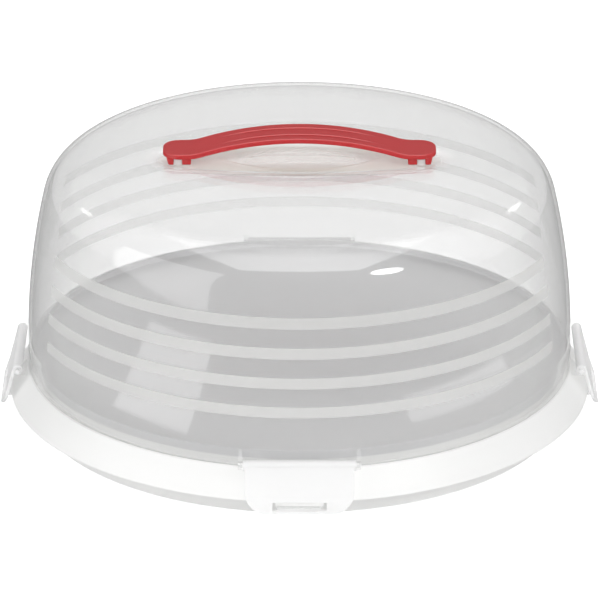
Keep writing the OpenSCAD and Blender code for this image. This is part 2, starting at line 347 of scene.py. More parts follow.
def add_node(tree, kind, values=(), links=(), **settings):
    """A node with its settings, its input values and the sockets that feed it."""
    node = tree.nodes.new(kind)
    for name, value in settings.items():
        setattr(node, name, value)
    for socket, value in dict(values).items():
        node.inputs[socket].default_value = value
    for socket, source in dict(links).items():
        tree.links.new(source, node.inputs[socket])
    return node


def new_material(name):
    """An empty node material, its tree and its output node."""
    material = bpy.data.materials.new(name)
    material.use_nodes = True
    tree = material.node_tree
    tree.nodes.clear()
    return material, tree, add_node(tree, "ShaderNodeOutputMaterial")


def clear_polypropylene(name, colour, milkiest, shiniest):
    """Clear moulded polypropylene: see-through with a faint milkiness that grows where the wall is
    seen edge on, under a glossy skin whose highlights waver a little. The recess under the handle
    is duller and creamier."""
    material, tree, out = new_material(name)
    place = add_node(tree, "ShaderNodeTexCoord")
    # The moulded skin wavers over 34 mm, by a fraction of a millimetre
    waver = add_node(
        tree, "ShaderNodeTexNoise", {"Scale": scale_for(34), "Detail": 1},
        {"Vector": place.outputs["Object"]})
    skin = add_node(
        tree, "ShaderNodeBump", {"Strength": 0.12, "Distance": 0.6 * MM},
        {"Height": waver.outputs["Fac"]})
    edge = add_node(
        tree, "ShaderNodeLayerWeight", {"Blend": 0.5}, {"Normal": skin.outputs["Normal"]})
    haze = add_node(
        tree, "ShaderNodeMapRange",
        {"From Min": 0.1, "From Max": 1.0, "To Min": 0.03, "To Max": milkiest},
        {"Value": edge.outputs["Facing"]}, interpolation_type="SMOOTHSTEP")
    # The recess: inside an ellipse of its length and width, and above the shoulder
    lens = add_node(
        tree, "ShaderNodeVectorMath", {1: (2 / (RECESS_LEN * MM), 2 / (RECESS_W * MM), 0.0)},
        {0: place.outputs["Object"]}, operation="MULTIPLY")
    middle = add_node(
        tree, "ShaderNodeVectorMath", links={0: lens.outputs["Vector"]}, operation="LENGTH")
    dull = add_node(
        tree, "ShaderNodeMapRange",
        {"From Min": 0.9, "From Max": 1.05, "To Min": 1.0, "To Max": 0.0},
        {"Value": middle.outputs["Value"]}, interpolation_type="SMOOTHSTEP")
    height = add_node(tree, "ShaderNodeSeparateXYZ", links={"Vector": place.outputs["Object"]})
    top = add_node(
        tree, "ShaderNodeMath", {1: SHOULDER_Z * MM}, {0: height.outputs["Z"]},
        operation="GREATER_THAN")
    recess = add_node(
        tree, "ShaderNodeMath", links={0: dull.outputs["Result"], 1: top.outputs[0]},
        operation="MULTIPLY")
    veil = add_node(
        tree, "ShaderNodeMath", {1: 0.2}, {0: recess.outputs[0], 2: haze.outputs["Result"]},
        operation="MULTIPLY_ADD")
    cream = add_node(
        tree, "ShaderNodeMix", {COLOUR_A: linear("#F0F0EF"), COLOUR_B: linear("#F6F2E4")},
        {0: recess.outputs[0]}, data_type="RGBA")
    through = add_node(tree, "ShaderNodeBsdfTransparent", {"Color": linear(colour)})
    body = add_node(tree, "ShaderNodeBsdfDiffuse", links={"Color": cream.outputs[COLOUR_OUT]})
    inside = add_node(tree, "ShaderNodeBsdfTranslucent", {"Color": linear("#F0F0EF")})
    cloudy = add_node(
        tree, "ShaderNodeMixShader", {0: 0.25},
        {1: body.outputs["BSDF"], 2: inside.outputs["BSDF"]})
    milk = add_node(
        tree, "ShaderNodeMixShader",
        links={0: veil.outputs[0], 1: through.outputs["BSDF"], 2: cloudy.outputs["Shader"]})
    # A plastic's reflection is 0.04 face on, and rises steeply towards the edge
    shine = add_node(
        tree, "ShaderNodeBsdfGlossy", {"Color": linear("#FFFFFF"), "Roughness": 0.06},
        {"Normal": skin.outputs["Normal"]})
    steep = add_node(
        tree, "ShaderNodeMath", {1: 5.0}, {0: edge.outputs["Facing"]}, operation="POWER")
    mirror = add_node(
        tree, "ShaderNodeMapRange", {"To Min": 0.04, "To Max": shiniest},
        {"Value": steep.outputs[0]})
    gleam = add_node(
        tree, "ShaderNodeMapRange", {"To Min": 1.0, "To Max": 0.3}, {"Value": recess.outputs[0]})
    skin_shine = add_node(
        tree, "ShaderNodeMath", links={0: mirror.outputs["Result"], 1: gleam.outputs["Result"]},
        operation="MULTIPLY")
    both = add_node(
        tree, "ShaderNodeMixShader",
        links={0: skin_shine.outputs[0], 1: milk.outputs["Shader"], 2: shine.outputs["BSDF"]})
    tree.links.new(both.outputs["Shader"], out.inputs["Surface"])
    return material


def satin_polypropylene():
    """The same plastic with a satin surface moulded on it: a soft white veil that hides most of
    what is behind."""
    material, tree, out = new_material("satin_moulded_polypropylene")
    place = add_node(tree, "ShaderNodeTexCoord")
    # The satin's grain is finer than this, and is drawn at 0.9 mm so that it shows
    grain = add_node(
        tree, "ShaderNodeTexNoise", {"Scale": scale_for(0.9), "Detail": 3},
        {"Vector": place.outputs["Object"]})
    skin = add_node(
        tree, "ShaderNodeBump", {"Strength": 0.25, "Distance": 0.05 * MM},
        {"Height": grain.outputs["Fac"]})
    through = add_node(tree, "ShaderNodeBsdfTransparent", {"Color": linear("#FFFFFF")})
    veil = add_node(
        tree, "ShaderNodeBsdfPrincipled",
        {"Base Color": linear("#ECECEB"), "Roughness": 0.6, "IOR": 1.5},
        {"Normal": skin.outputs["Normal"]})
    inside = add_node(tree, "ShaderNodeBsdfTranslucent", {"Color": linear("#F6F6F5")})
    soft = add_node(
        tree, "ShaderNodeMixShader", {0: 0.6},
        {1: veil.outputs["BSDF"], 2: inside.outputs["BSDF"]})
    mixed = add_node(
        tree, "ShaderNodeMixShader", {0: 0.42},
        {1: through.outputs["BSDF"], 2: soft.outputs["Shader"]})
    tree.links.new(mixed.outputs["Shader"], out.inputs["Surface"])
    return material


def white_polypropylene():
    """Opaque white moulded polypropylene: bright, softly glossy, with the faint orange peel of a
    moulded skin. The tray's floor is a little greyer than its rim: painted shade, for the light
    that the lid holds back from it."""
    material, tree, out = new_material("white_moulded_polypropylene")
    place = add_node(tree, "ShaderNodeTexCoord")
    # Orange peel of 1.6 mm, and cloudy gloss where the plastic cooled unevenly, over 60 mm
    peel = add_node(
        tree, "ShaderNodeTexNoise", {"Scale": scale_for(1.6), "Detail": 2},
        {"Vector": place.outputs["Object"]})
    cloud = add_node(
        tree, "ShaderNodeTexNoise", {"Scale": scale_for(60), "Detail": 2},
        {"Vector": place.outputs["Object"]})
    skin = add_node(
        tree, "ShaderNodeBump", {"Strength": 0.12, "Distance": 0.05 * MM},
        {"Height": peel.outputs["Fac"]})
    gloss = add_node(
        tree, "ShaderNodeMapRange", {"To Min": 0.34, "To Max": 0.46},
        {"Value": cloud.outputs["Fac"]})
    height = add_node(tree, "ShaderNodeSeparateXYZ", links={"Vector": place.outputs["Object"]})
    above = add_node(
        tree, "ShaderNodeMapRange",
        {"From Min": (FLOOR_Z - 2) * MM, "From Max": (FLOOR_Z - 1) * MM},
        {"Value": height.outputs["Z"]})
    # Painted shade: from just under the floor upwards, the tray is greyer, standing in for the
    # shade on its floor inside the lid
    tone = add_node(
        tree, "ShaderNodeMix", {COLOUR_A: linear("#F6F6F5"), COLOUR_B: linear("#DDDDDE")},
        {0: above.outputs["Result"]}, data_type="RGBA")
    body = add_node(
        tree, "ShaderNodeBsdfPrincipled", {"IOR": 1.49},
        {"Base Color": tone.outputs[COLOUR_OUT], "Roughness": gloss.outputs["Result"],
         "Normal": skin.outputs["Normal"]})
    tree.links.new(body.outputs["BSDF"], out.inputs["Surface"])
    return material


def natural_polypropylene(name, veil):
    """Natural polypropylene without pigment: milky, with a soft gloss. Light scatters through it,
    so that it casts only a faint shadow."""
    material, tree, out = new_material(name)
    place = add_node(tree, "ShaderNodeTexCoord")
    # A slow unevenness of the thin moulding, over 14 mm
    cloud = add_node(
        tree, "ShaderNodeTexNoise", {"Scale": scale_for(14), "Detail": 2},
        {"Vector": place.outputs["Object"]})
    skin = add_node(
        tree, "ShaderNodeBump", {"Strength": 0.1, "Distance": 0.3 * MM},
        {"Height": cloud.outputs["Fac"]})
    through = add_node(tree, "ShaderNodeBsdfTransparent", {"Color": linear("#FBFBFB")})
    body = add_node(
        tree, "ShaderNodeBsdfPrincipled",
        {"Base Color": linear("#F9F9F9"), "Roughness": 0.3, "IOR": 1.49},
        {"Normal": skin.outputs["Normal"]})
    inside = add_node(tree, "ShaderNodeBsdfTranslucent", {"Color": linear("#FBFBFB")})
    milky = add_node(
        tree, "ShaderNodeMixShader", {0: 0.15},
        {1: body.outputs["BSDF"], 2: inside.outputs["BSDF"]})
    ray = add_node(tree, "ShaderNodeLightPath")
    stop = add_node(
        tree, "ShaderNodeMapRange", {"To Min": veil, "To Max": veil / 4},
        {"Value": ray.outputs["Is Shadow Ray"]})
    mixed = add_node(
        tree, "ShaderNodeMixShader",
        links={0: stop.outputs["Result"], 1: through.outputs["BSDF"], 2: milky.outputs["Shader"]})
    tree.links.new(mixed.outputs["Shader"], out.inputs["Surface"])
    return material


def red_polypropylene():
    """Opaque red moulded polypropylene: an even dull red with a soft sheen and a fine moulded
    grain."""
    material, tree, out = new_material("red_moulded_polypropylene")
    place = add_node(tree, "ShaderNodeTexCoord")
    # Moulded grain of 0.8 mm, and a faint change of tone where the plastic flowed, over 25 mm
    grain = add_node(
        tree, "ShaderNodeTexNoise", {"Scale": scale_for(0.8), "Detail": 3},
        {"Vector": place.outputs["Object"]})
    flow = add_node(
        tree, "ShaderNodeTexNoise", {"Scale": scale_for(25), "Detail": 2},
        {"Vector": place.outputs["Object"]})
    skin = add_node(
        tree, "ShaderNodeBump", {"Strength": 0.2, "Distance": 0.04 * MM},
        {"Height": grain.outputs["Fac"]})
    tone = add_node(
        tree, "ShaderNodeMix", {COLOUR_A: linear("#BB272A"), COLOUR_B: linear("#C22D30")},
        {0: flow.outputs["Fac"]}, data_type="RGBA")
    body = add_node(
        tree, "ShaderNodeBsdfPrincipled", {"Roughness": 0.5, "Specular IOR Level": 0.0},
        {"Base Color": tone.outputs[COLOUR_OUT], "Normal": skin.outputs["Normal"]})
    sheen = add_node(
        tree, "ShaderNodeBsdfGlossy", {"Color": linear("#FFFFFF"), "Roughness": 0.2},
        {"Normal": skin.outputs["Normal"]})
    both = add_node(
        tree, "ShaderNodeMixShader", {0: 0.06},
        {1: body.outputs["BSDF"], 2: sheen.outputs["BSDF"]})
    tree.links.new(both.outputs["Shader"], out.inputs["Surface"])
    return material


CLEAR = clear_polypropylene("clear_moulded_polypropylene", "#FAFAFA", 0.32, 0.9)
THIN_CLEAR = clear_polypropylene("clear_moulded_polypropylene_ears", "#FFFFFF", 0.06, 0.12)
SATIN = satin_polypropylene()
WHITE = white_polypropylene()
NATURAL = natural_polypropylene("natural_polypropylene_flap", 0.76)
RED = red_polypropylene()


# Dome lid


SCOOP_ARC_R = (SCOOP_LEN ** 2 + SCOOP_W ** 2) / (4 * SCOOP_W)
SCOOP_Z = CROWN_Z - RECESS_DEPTH - SCOOP_DEPTH
SCOOP_RISE = crown_at(SCOOP_LEN / 2, RECESS_DEPTH) - SCOOP_Z
SCOOP_FLOOR_R = ((SCOOP_LEN / 2) ** 2 + SCOOP_RISE ** 2) / (2 * SCOOP_RISE)
# Rings in each of the crown's zones, from the axis outwards: scoop floor, scoop wall, recess
# floor, recess edge, open crown
CROWN_RINGS = (12, 9, 10, 6, 20)


def lens_reach(angle, width, side_r, grown):
    """Distance from a lens's middle to its outline in a direction."""
    off = side_r - width / 2
    across = off * abs(math.sin(angle))
    return math.sqrt((side_r + grown) ** 2 - off ** 2 + across ** 2) - across


def recess_reach(angle, grown):
    """Distance from the axis to the recess's outline, a lens with round ends."""
    side = lens_reach(angle, RECESS_W, RECESS_ARC_R, grown)
    end_r = RECESS_W / 2 + grown
    off = (RECESS_LEN - RECESS_W) / 2
    across = off * abs(math.sin(angle))
    if across >= end_r:
        return side
    return min(side, off * abs(math.cos(angle)) + math.sqrt(end_r ** 2 - across ** 2))


def crown_limits(angle):
    """Distances from the axis, in a direction, between which the crown's zones lie."""
    soft = RECESS_SOFT * smooth(1.0 - abs(math.sin(angle)) * RECESS_SOFT_SPAN)
    return (
        0.0,
        lens_reach(angle, SCOOP_W, SCOOP_ARC_R, -SCOOP_WALL),
        lens_reach(angle, SCOOP_W, SCOOP_ARC_R, SCOOP_LIP),
        recess_reach(angle, -RECESS_EDGE[0]) - soft / 3,
        recess_reach(angle, RECESS_EDGE[1]) + soft,
        CROWN_END_R,
    )


def scoop_floor_at(x):
    """Height of the scoop's floor, an arc along X."""
    return SCOOP_Z + SCOOP_FLOOR_R - math.sqrt(SCOOP_FLOOR_R ** 2 - min(x * x, SCOOP_FLOOR_R ** 2))


def crown_point(angle, zone, t):
    """A point of the crown, a share t of the way across one of its zones."""
    limits = crown_limits(angle)
    reach = limits[zone] + (limits[zone + 1] - limits[zone]) * t
    x, y = reach * math.cos(angle), reach * math.sin(angle)
    in_recess = (1, 1, 1, 1 - smooth(t), 0)[zone]
    in_scoop = (1, 1 - smooth(t), 0, 0, 0)[zone]
    level = crown_at(reach, RECESS_DEPTH * in_recess)
    drop = max(0.0, level - scoop_floor_at(x))
    return x, y, level - drop * in_scoop


def dome_profile():
    """The outside of the lid from the axis to its lower edge, then the zone and share of each ring
    of the crown, and the rings' radii."""
    zones = [(zone, t) for zone, rings in enumerate(CROWN_RINGS) for t in spread(0, 1, rings)[:-1]]
    even = spread(0, CROWN_END_R, len(zones))[:-1]
    profile = [(r, crown_at(r)) for r in even]
    profile += arc(SHOULDER_C, SHOULDER_R, CROWN_A, SHOULDER_A, SHOULDER_STEPS)
    profile += arc(WALL_C, WALL_ARC_R, SHOULDER_A, 0, WALL_STEPS)[1:]
    profile += [(LID_R, SEAT_Z + LID_EDGE_R), (LID_R - LID_EDGE_R / 2, SEAT_Z)]
    return profile, dict(enumerate(zones)), even


def dome_shell():
    """The dome: a spun shell whose crown is moved into the recess and the scoop, then given its
    wall."""
    profile, zones, even = dome_profile()
    bm = spun(profile, DOME_STEPS)
    gap = even[1] - even[0]
    for v in bm.verts:
        radius = math.hypot(v.co.x, v.co.y)
        ring = round(radius / gap)
        if v.co.z > SHOULDER_Z and ring in zones and abs(radius - even[ring]) < RING_SLACK:
            v.co = crown_point(math.atan2(v.co.y, v.co.x), *zones[ring])
    bmesh.ops.recalc_face_normals(bm, faces=bm.faces)
    dome = piece("lid_dome", bm, CLEAR, "lid", sharp=60)
    wall = dome.modifiers.new("wall", "SOLIDIFY")
    wall.thickness = LID_WALL * MM
    wall.offset = -1
    wall.use_even_offset = True
    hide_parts("dome_lid")


def stripe(name, z, turn):
    """One satin stripe, a thin band on the outside of the wall."""
    heights = spread(z - STRIPE_H / 2, z + STRIPE_H / 2, 5)
    proud = [(wall_at(h, STRIPE_T), h) for h in heights]
    root = [(wall_at(h, STRIPE_LIFT), h) for h in reversed(heights)]
    outline = proud + root + proud[:1]
    bm = spun(outline, STRIPE_STEPS, -90 - STRIPE_ANGLE / 2, STRIPE_ANGLE)
    open_edges = [e for e in bm.edges if e.is_boundary]
    bmesh.ops.holes_fill(bm, edges=open_edges, sides=0)
    bmesh.ops.recalc_face_normals(bm, faces=bm.faces)
    piece(name, bm, SATIN, "lid", turn)


def ear(bm, y):
    """One hinge ear of the +X latch: a bored boss with an arm to the wall."""
    edges = []
    for radius in (EAR_R, EAR_BORE_R):
        made = bmesh.ops.create_circle(bm, segments=EAR_STEPS, radius=radius, cap_ends=False)
        edges += list({e for v in made["verts"] for e in v.link_edges})
    faces = bmesh.ops.bridge_loops(bm, edges=edges)["faces"]
    boss = list({v for f in faces for v in f.verts})
    wall_x = LID_R - HINGE_R - LID_WALL / 2
    start_x = -EAR_BORE_R - EAR_ARM_GAP
    low = -EAR_R + EAR_ARM_INSET
    corners = ((start_x, low), (start_x, EAR_ARM_TOP), (wall_x, EAR_ARM_LIFT), (wall_x, low))
    arm = [bm.verts.new((*corner, 0)) for corner in corners]
    faces.append(bm.faces.new(arm))
    grown = bmesh.ops.extrude_face_region(bm, geom=faces, use_keep_orig=True)["geom"]
    moved = [v for v in grown if isinstance(v, bmesh.types.BMVert)]
    bmesh.ops.translate(bm, vec=(0, 0, EAR_T), verts=moved)
    place = Matrix.Translation((HINGE_R, y + EAR_T / 2, HINGE_Z))
    stand = place @ Matrix.Rotation(math.radians(90), 4, "X")
    bmesh.ops.transform(bm, matrix=stand, verts=boss + arm + moved)


def ears(name, turn):
    """The pair of ears that carry one latch."""
    bm = bmesh.new()
    for side in (-1, 1):
        ear(bm, side * EAR_Y)
    bmesh.ops.recalc_face_normals(bm, faces=bm.faces)
    piece(name, bm, THIN_CLEAR, "lid", turn)


def lug(name, side):
    """One lug that a handle's foot clips over."""
    x = side * LUG_X
    low = (x - LUG_T / 2, -LUG_W / 2, LUG_ROOT_Z)
    high = (x + LUG_T / 2, LUG_W / 2, LUG_TOP_Z)
    piece(name, block(bmesh.new(), low, high, LUG_EDGE_R), NATURAL, "lid")


# Handle


ARCH_C_Z = PAD_TOP_Z + ARCH_RISE - ARCH_R
BLEND_C_Z = PAD_TOP_Z + BLEND_R
BLEND_X = math.sqrt((ARCH_R + BLEND_R) ** 2 - (BLEND_C_Z - ARCH_C_Z) ** 2)
CORNER_X = HANDLE_LEN / 2 - PAD_CORNER_R
CORNER_Y = HANDLE_W / 2 - PAD_CORNER_R


def handle_at(x, depth):
    """Height of the handle at a distance from its middle, at a depth below its top face."""
    x = abs(x)
    if x >= BLEND_X:
        return PAD_TOP_Z - depth
    if x >= BLEND_X * (ARCH_R - depth) / (ARCH_R + BLEND_R):
        return BLEND_C_Z - math.sqrt((BLEND_R + depth) ** 2 - (BLEND_X - x) ** 2)
    return ARCH_C_Z + math.sqrt((ARCH_R - depth) ** 2 - x * x)


def handle_outline():
    """Anchors and outward normals round the handle's plan, a rectangle with round corners."""
    along = [math.radians(a) for a in spread(0, 90, HANDLE_STEPS)]
    quarter = [((CORNER_X * math.sin(a), CORNER_Y), (0, 1)) for a in along]
    turns = [math.radians(a) for a in spread(90, 0, CORNER_STEPS)][1:]
    quarter += [((CORNER_X, CORNER_Y), (math.cos(a), math.sin(a))) for a in turns]
    quarter += [((CORNER_X, CORNER_Y / 2), (1, 0)), ((CORNER_X, 0), (1, 0))]
    half = quarter + [((x, -y), (nx, -ny)) for (x, y), (nx, ny) in reversed(quarter[:-1])]
    return half + [((-x, y), (-nx, ny)) for (x, y), (nx, ny) in reversed(half[1:-1])]


def handle_rings():
    """Each ring round the handle, from the middle of its top to the middle of its underside: how
    far it is inset from the outline, its share of that ring's width, and its depth below the top
    face."""
    flat_half = HANDLE_W / 2 - HANDLE_EDGE_R
    across = sorted({*TOP_LINES_Y, *[RIDGE_Y + d for d in RIDGE_LINES]})
    rings = [(HANDLE_EDGE_R, y / flat_half, 0.0) for y in across]
    for a in spread(90, 0, 6):
        out, up = math.cos(math.radians(a)), math.sin(math.radians(a))
        rings.append((HANDLE_EDGE_R * (1 - out), 1.0, HANDLE_EDGE_R * (1 - up)))
    for a in spread(0, 90, 4):
        out, down = math.cos(math.radians(a)), math.sin(math.radians(a))
        rings.append((HANDLE_UNDER_R * (1 - out), 1.0, HANDLE_T - HANDLE_UNDER_R * (1 - down)))
    rings += [(HANDLE_UNDER_R, share, HANDLE_T) for share in (0.75, 0.5, 0.25, 0.0)]
    return rings


def ridge_height(x, y):
    """How far the handle's two ridges stand up at a point."""
    swell = math.sqrt(max(RIDGE_R ** 2 - (abs(y) - RIDGE_Y) ** 2, 0.0)) - RIDGE_SINK
    fade = 1 - smooth((abs(x) - RIDGE_FADE[0]) / (RIDGE_FADE[1] - RIDGE_FADE[0]))
    return max(swell, 0.0) * fade


def handle_foot(bm, side):
    """The forked foot under one pad, its two legs rooted in the pad."""
    top = PAD_TOP_Z - HANDLE_T / 2
    for (near, far), flare in ((INNER_LEG_X, 0.0), (OUTER_LEG_X, OUTER_LEG_FLARE)):
        low = (min(side * near, side * far), -FOOT_W / 2, FOOT_Z)
        high = (max(side * near, side * far), FOOT_W / 2, top)

        def lean(v, far=far, flare=flare):
            if v.co.z > FOOT_Z + 1 and abs(v.co.x) > far - MERGE:
                v.co.x += side * flare

        block(bm, low, high, FOOT_EDGE_R, lean)


def handle_grip():
    """The arched grip with its two pads and their feet."""
    outline = handle_outline()
    rings = handle_rings()

    def place(i, j):
        (ax, ay), (nx, ny) = outline[i]
        inset, share, depth = rings[j]
        x = (ax + nx * (PAD_CORNER_R - inset)) * (1 - LINE_TAPER * (1 - share))
        y = (ay + ny * (PAD_CORNER_R - inset)) * share
        rise = ridge_height(x, y) if depth == 0 else 0
        return x, y, handle_at(x, depth) + rise

    bm = wrapped(len(outline), len(rings) - 1, place)
    for side in (-1, 1):
        handle_foot(bm, side)
    grip = piece("handle_grip", bm, RED, "lid", sharp=50)
    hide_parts("handle")


# Tray


def tray():
    """The tray's one moulding: floor, ring, seat, sloping shoulder and foot, spun from a closed
    outline of radius, height and rounding."""
    ring_in = RING_R - TRAY_WALL
    profile = rounded([
        (0, FLOOR_Z, 0), (ring_in, FLOOR_Z, 1.2), (ring_in, RING_TOP_Z, 0.7),
        (RING_R, RING_TOP_Z, 0.7), (RING_R, SEAT_Z, 0.5), (SEAT_R, SEAT_Z, 1.0),
        (SKIRT_R, SKIRT_Z + SKIRT_EDGE, 0.5), (SKIRT_R, SKIRT_Z, 0.3),
        (SKIRT_R - TRAY_WALL, SKIRT_Z, 0.5), (SEAT_R - TRAY_WALL / 2, SEAT_Z - TRAY_WALL, 0.6),
        (RING_R, SEAT_Z - TRAY_WALL, 0.6), (FOOT_R, 0, 0.6), (FOOT_R - TRAY_WALL, 0, 0.6),
        (ring_in, FLOOR_Z - TRAY_WALL, 2.0), (0, FLOOR_Z - TRAY_WALL, 0)])
    base = piece("tray_shell", spun(profile, TRAY_STEPS), WHITE, "tray")
    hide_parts("base_tray")


def tray_catch(name, turn):
    """One catch under the tray's rim."""
    low = (CATCH_OUT - CATCH_T, -CATCH_W / 2, CATCH_Z[0])
    high = (CATCH_OUT, CATCH_W / 2, CATCH_Z[1])
    catch = block(bmesh.new(), low, high, CATCH_EDGE_R)
    piece(name, catch, WHITE, "tray", turn)


# Latches


def flap_reach(z):
    """How far out the flap's outer face is at a height."""
    if z >= BEND[1]:
        share = (HINGE_Z - z) / (HINGE_Z - BEND[1])
        return HINGE_R + BARREL_R + (BEND[0] - HINGE_R - BARREL_R) * share
    return BEND[0] + (LIP[0] - BEND[0]) * (BEND[1] - z) / (BEND[1] - LIP[1])


def flap_half_width(z):
    """Half of the flap's width at a height, less where its lower corners are round."""
    above = z - LIP[1]
    if above >= FLAP_CORNER_R:
        return FLAP_W / 2
    cut = FLAP_CORNER_R - math.sqrt(FLAP_CORNER_R ** 2 - (FLAP_CORNER_R - above) ** 2)
    return FLAP_W / 2 - cut


def in_window(face):
    """Whether a face of the flap lies in its window."""
    middle = face.calc_center_median()
    return abs(middle.y) < WINDOW_W / 2 and WINDOW_Z[0] < middle.z < WINDOW_Z[1]


def latch_flap(bm):
    """The flap of the +X latch: a plate with round lower corners, a bend and a window."""
    turns = [math.radians(a) for a in spread(0, 90, 7)]
    corner = [LIP[1] + FLAP_CORNER_R * (1 - math.cos(a)) for a in turns]
    kept = (*WINDOW_Z, BEND[1])
    free = [z for z in corner if min(abs(z - k) for k in kept) > FLAP_ROW_GAP]
    rows = sorted([*free, *kept, *FLAP_ROWS_Z, HINGE_Z])
    # Columns: -1 to 0 is left of the window, 0 to 1 across it, and 1 to 2 right of it
    columns = spread(-1, 0, 5)[:-1] + spread(0, 1, 8) + spread(1, 2, 5)[1:]
    wide, high = len(columns) - 1, len(rows) - 1
    bmesh.ops.create_grid(bm, x_segments=wide, y_segments=high, size=0.5)
    for v in bm.verts:
        z = rows[round((v.co.y + 0.5) * high)]
        column = columns[round((v.co.x + 0.5) * wide)]
        across = min(max(column, 0), 1) * WINDOW_W - WINDOW_W / 2
        margin = flap_half_width(z) - WINDOW_W / 2
        v.co = (flap_reach(z), across + (min(column, 0) + max(column - 1, 0)) * margin, z)
    bmesh.ops.delete(bm, geom=[f for f in bm.faces if in_window(f)], context="FACES")
    grown = bmesh.ops.extrude_face_region(bm, geom=bm.faces[:], use_keep_orig=True)["geom"]
    inner = [v for v in grown if isinstance(v, bmesh.types.BMVert)]
    bmesh.ops.translate(bm, vec=(-FLAP_T, 0, 0), verts=inner)
    bmesh.ops.recalc_face_normals(bm, faces=bm.faces)


def latch(name, body, node, turn):
    """One latch: its barrel with the two hinge pins, its flap and the hook behind the window."""
    bm = bmesh.new()
    rod(bm, BARREL_R, BARREL_LEN, BARREL_EDGE_R, (0, -HINGE_R, HINGE_Z))
    rod(bm, PIN_R, PIN_LEN, PIN_EDGE_R, (0, -HINGE_R, HINGE_Z), 20)
    turned(bm, 90)
    flap = bmesh.new()
    latch_flap(flap)
    hook_low = (HOOK_IN, -HOOK_W / 2, HOOK_Z[0])
    block(flap, hook_low, (BEND[0], HOOK_W / 2, HOOK_Z[1]), HOOK_EDGE_R)
    made = bpy.data.meshes.new("flap")
    flap.to_mesh(made)
    flap.free()
    bm.from_mesh(made)
    bpy.data.meshes.remove(made)
    obj = piece(name, bm, NATURAL, body, turn, sharp=50)
    soft = obj.modifiers.new("edges", "BEVEL")
    soft.width = FLAP_EDGE_R * MM
    soft.segments = 2
    soft.limit_method = "ANGLE"
    soft.angle_limit = math.radians(50)
    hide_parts(node)


SIDES = {"right": 0, "back": 90, "left": 180, "front": 270}

dome_shell()
for rank, stripe_z in enumerate(STRIPE_Z):
    stripe(f"front_stripe_{rank + 1}", stripe_z, 0)
    stripe(f"back_stripe_{rank + 1}", stripe_z, 180)
handle_grip()
lug("lid_lug_left", -1)
lug("lid_lug_right", 1)
tray()
for side_name, side_turn in SIDES.items():
    ears(f"lid_ears_{side_name}", side_turn)
    tray_catch(f"tray_catch_{side_name}", side_turn)
    latch(f"{side_name}_latch_flap", f"{side_name}_latch", f"latch_{side_name}", side_turn)


# Stage, light and camera


FLOOR_SIZE = 12000.0
# The floor is darker to the camera but glows there, so it is plain white and keeps a faint shadow
FLOOR_LIFT = 0.87
CARD_Z = 2.0
PANEL_Z = 1500.0
SIDE_REACH = 2000.0
# The room's level: as light on the object, and in reflections in front
ROOM_LIGHT = 0.24
FRONT_LEVEL = 0.35
# Behind, reflections are dim up to a horizon, between these two sines of elevation, then white
HORIZON_BAND = (0.372, 0.385)
HORIZON_LEVEL = 0.78
# Between these two places along Y, on a sphere of 1, the front of the room turns into its back
FRONT_BAND = (-0.4, 0.1)

PHOTO_SIZE_PX = 600
PHOTO_CENTRE_X_PX = 299.5
PHOTO_FOCAL_PX = 5194.5
CAMERA_RISE = 22.97
CAMERA_DISTANCE = 3000.0
CAMERA_AIM_Z = 63.6


def stage_floor():
    """A white floor that is plain white to the camera and still takes the object's shadow."""
    material, tree, out = new_material("white_studio_floor")
    ray = add_node(tree, "ShaderNodeLightPath")
    seen = add_node(
        tree, "ShaderNodeMath",
        links={0: ray.outputs["Is Camera Ray"], 1: ray.outputs["Is Transmission Ray"]},
        operation="MAXIMUM")
    lift = add_node(
        tree, "ShaderNodeMath", {1: FLOOR_LIFT}, {0: seen.outputs[0]}, operation="MULTIPLY")
    shade = add_node(
        tree, "ShaderNodeMix", {COLOUR_A: linear("#E8E8E8"), COLOUR_B: linear("#A8A8A8")},
        {0: seen.outputs[0]}, data_type="RGBA")
    matt = add_node(tree, "ShaderNodeBsdfDiffuse", links={"Color": shade.outputs[COLOUR_OUT]})
    glow = add_node(
        tree, "ShaderNodeEmission", {"Color": linear("#FFFFFF")}, {"Strength": lift.outputs[0]})
    lit = add_node(
        tree, "ShaderNodeAddShader",
        links={0: matt.outputs["BSDF"], 1: glow.outputs["Emission"]})
    dim = add_node(
        tree, "ShaderNodeEmission", {"Color": linear("#FFFFFF"), "Strength": FRONT_LEVEL})
    both = add_node(
        tree, "ShaderNodeMixShader",
        links={0: ray.outputs["Is Glossy Ray"], 1: lit.outputs["Shader"],
               2: dim.outputs["Emission"]})
    tree.links.new(both.outputs["Shader"], out.inputs["Surface"])
    bm = bmesh.new()
    bmesh.ops.create_grid(bm, x_segments=1, y_segments=1, size=FLOOR_SIZE / 2)
    in_scene("studio_floor", finished("studio_floor", bm, material))


def reflector(name, bm, level):
    """A white panel of the studio that shows in reflections alone: nothing else sees it, and it
    lights nothing."""
    material, tree, out = new_material(name)
    ray = add_node(tree, "ShaderNodeLightPath")
    unseen = add_node(tree, "ShaderNodeBsdfTransparent")
    glow = add_node(
        tree, "ShaderNodeEmission", {"Color": linear("#FFFFFF"), "Strength": level})
    both = add_node(
        tree, "ShaderNodeMixShader",
        links={0: ray.outputs["Is Glossy Ray"], 1: unseen.outputs["BSDF"],
               2: glow.outputs["Emission"]})
    tree.links.new(both.outputs["Shader"], out.inputs["Surface"])
    in_scene(name, finished(name, bm, material))


def floor_card(name, reach, bearing, level):
    """A reflector on the floor, between two distances and two bearings in degrees, clockwise from
    the front."""
    span = [(distance, CARD_Z) for distance in reach]
    reflector(name, spun(span, 24, -90 - bearing[1], bearing[1] - bearing[0]), level)


def overhead_panel(name, place, size, level):
    """A level reflector above the object, its middle at a place in X and Y."""
    bm = bmesh.new()
    stretched = Matrix.Translation((*place, PANEL_Z)) @ Matrix.Diagonal((*size, 1, 1))
    bmesh.ops.create_grid(bm, x_segments=1, y_segments=1, size=0.5, matrix=stretched)
    reflector(name, bm, level)


